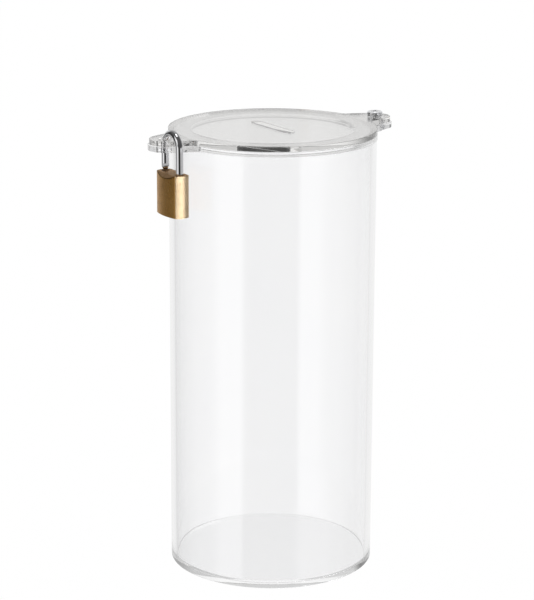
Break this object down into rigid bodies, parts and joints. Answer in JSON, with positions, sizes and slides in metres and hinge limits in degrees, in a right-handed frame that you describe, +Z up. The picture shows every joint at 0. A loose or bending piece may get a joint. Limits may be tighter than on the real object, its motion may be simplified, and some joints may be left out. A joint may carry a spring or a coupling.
{
  "type": "donation box",
  "caption": "Clear cylindrical donation box with a coin slot in a swinging eared lid, held shut by a small brass padlock hooked through the ears.",
  "frame": {"origin": "centre of the underside of the base", "axes": "+Z up along the tube, +X towards the hinge ear, -X towards the lock ear, coin slot along Y"},
  "size_m": [0.1344, 0.1006, 0.2222],
  "materials": {
    "acrylic": "clear polished acrylic",
    "plated_screw": "bright nickel plate",
    "chromed_shackle": "bright chrome",
    "brass": "finely brushed brass",
    "lock_steel": "plain steel"
  },
  "bodies": {
    "vessel": {"base_plate": "acrylic", "tube_wall": "acrylic", "collar_ring": "acrylic", "hinge_screw": "plated_screw", "hinge_nut": "plated_screw"},
    "lid": {"lid_plate": "acrylic"},
    "lock_shackle": {"padlock_shackle": "chromed_shackle"},
    "lock_spring": {"shackle_spring": "lock_steel"},
    "lock_case": {"padlock_case": "brass", "heel_retaining_pin": "lock_steel", "plug_retaining_pin": "lock_steel", "driver_pin_1": "lock_steel", "driver_pin_2": "lock_steel", "driver_pin_3": "lock_steel", "driver_pin_4": "lock_steel", "pin_spring_1": "lock_steel", "pin_spring_2": "lock_steel", "pin_spring_3": "lock_steel", "pin_spring_4": "lock_steel", "chamber_plug_1": "brass", "chamber_plug_2": "brass", "chamber_plug_3": "brass", "chamber_plug_4": "brass", "latch_spring": "lock_steel"},
    "lock_cylinder": {"cylinder_plug": "brass", "key_pin_1": "brass", "key_pin_2": "brass", "key_pin_3": "brass", "key_pin_4": "brass"},
    "lock_bolt": {"latch_bolt": "lock_steel"}
  },
  "joints": [
    {"name": "lid_swing", "type": "hinge", "parent": "vessel", "child": "lid", "pos_m": [0.059, 0, 0.2146], "axis": [0, 0, -1], "range_deg": [0, 180]},
    {"name": "padlock_lift", "type": "slide", "parent": "vessel", "child": "lock_shackle", "axis": [-0.0536, -0.0904, 0.9945], "range_m": [0, 0.015]},
    {"name": "padlock_turn", "type": "hinge", "parent": "lock_shackle", "child": "lock_spring", "pos_m": [-0.05885, -0.0133, 0.1934], "axis": [0, 0, 1], "range_deg": [0, 180]},
    {"name": "case_push", "type": "slide", "parent": "lock_spring", "child": "lock_case", "axis": [0, 0, 1], "range_m": [0, 0.0056], "stiffness_N_per_m": 150, "springref_m": -0.002, "deforming": ["shackle_spring"]},
    {"name": "key_turn", "type": "hinge", "parent": "lock_case", "child": "lock_cylinder", "pos_m": [-0.05885, -0.006, 0.1821], "axis": [0, 0, 1], "range_deg": [0, 75]},
    {"name": "latch_slide", "type": "slide", "parent": "lock_case", "child": "lock_bolt", "axis": [0, 1, 0], "range_m": [0, 0.0013]}
  ],
  "couplings": [
    {"joint": "padlock_lift", "follows": "padlock_turn", "m_per_rad": 0.00475},
    {"joint": "key_turn", "follows": "latch_slide", "rad_per_m": 1006.9}
  ]
}
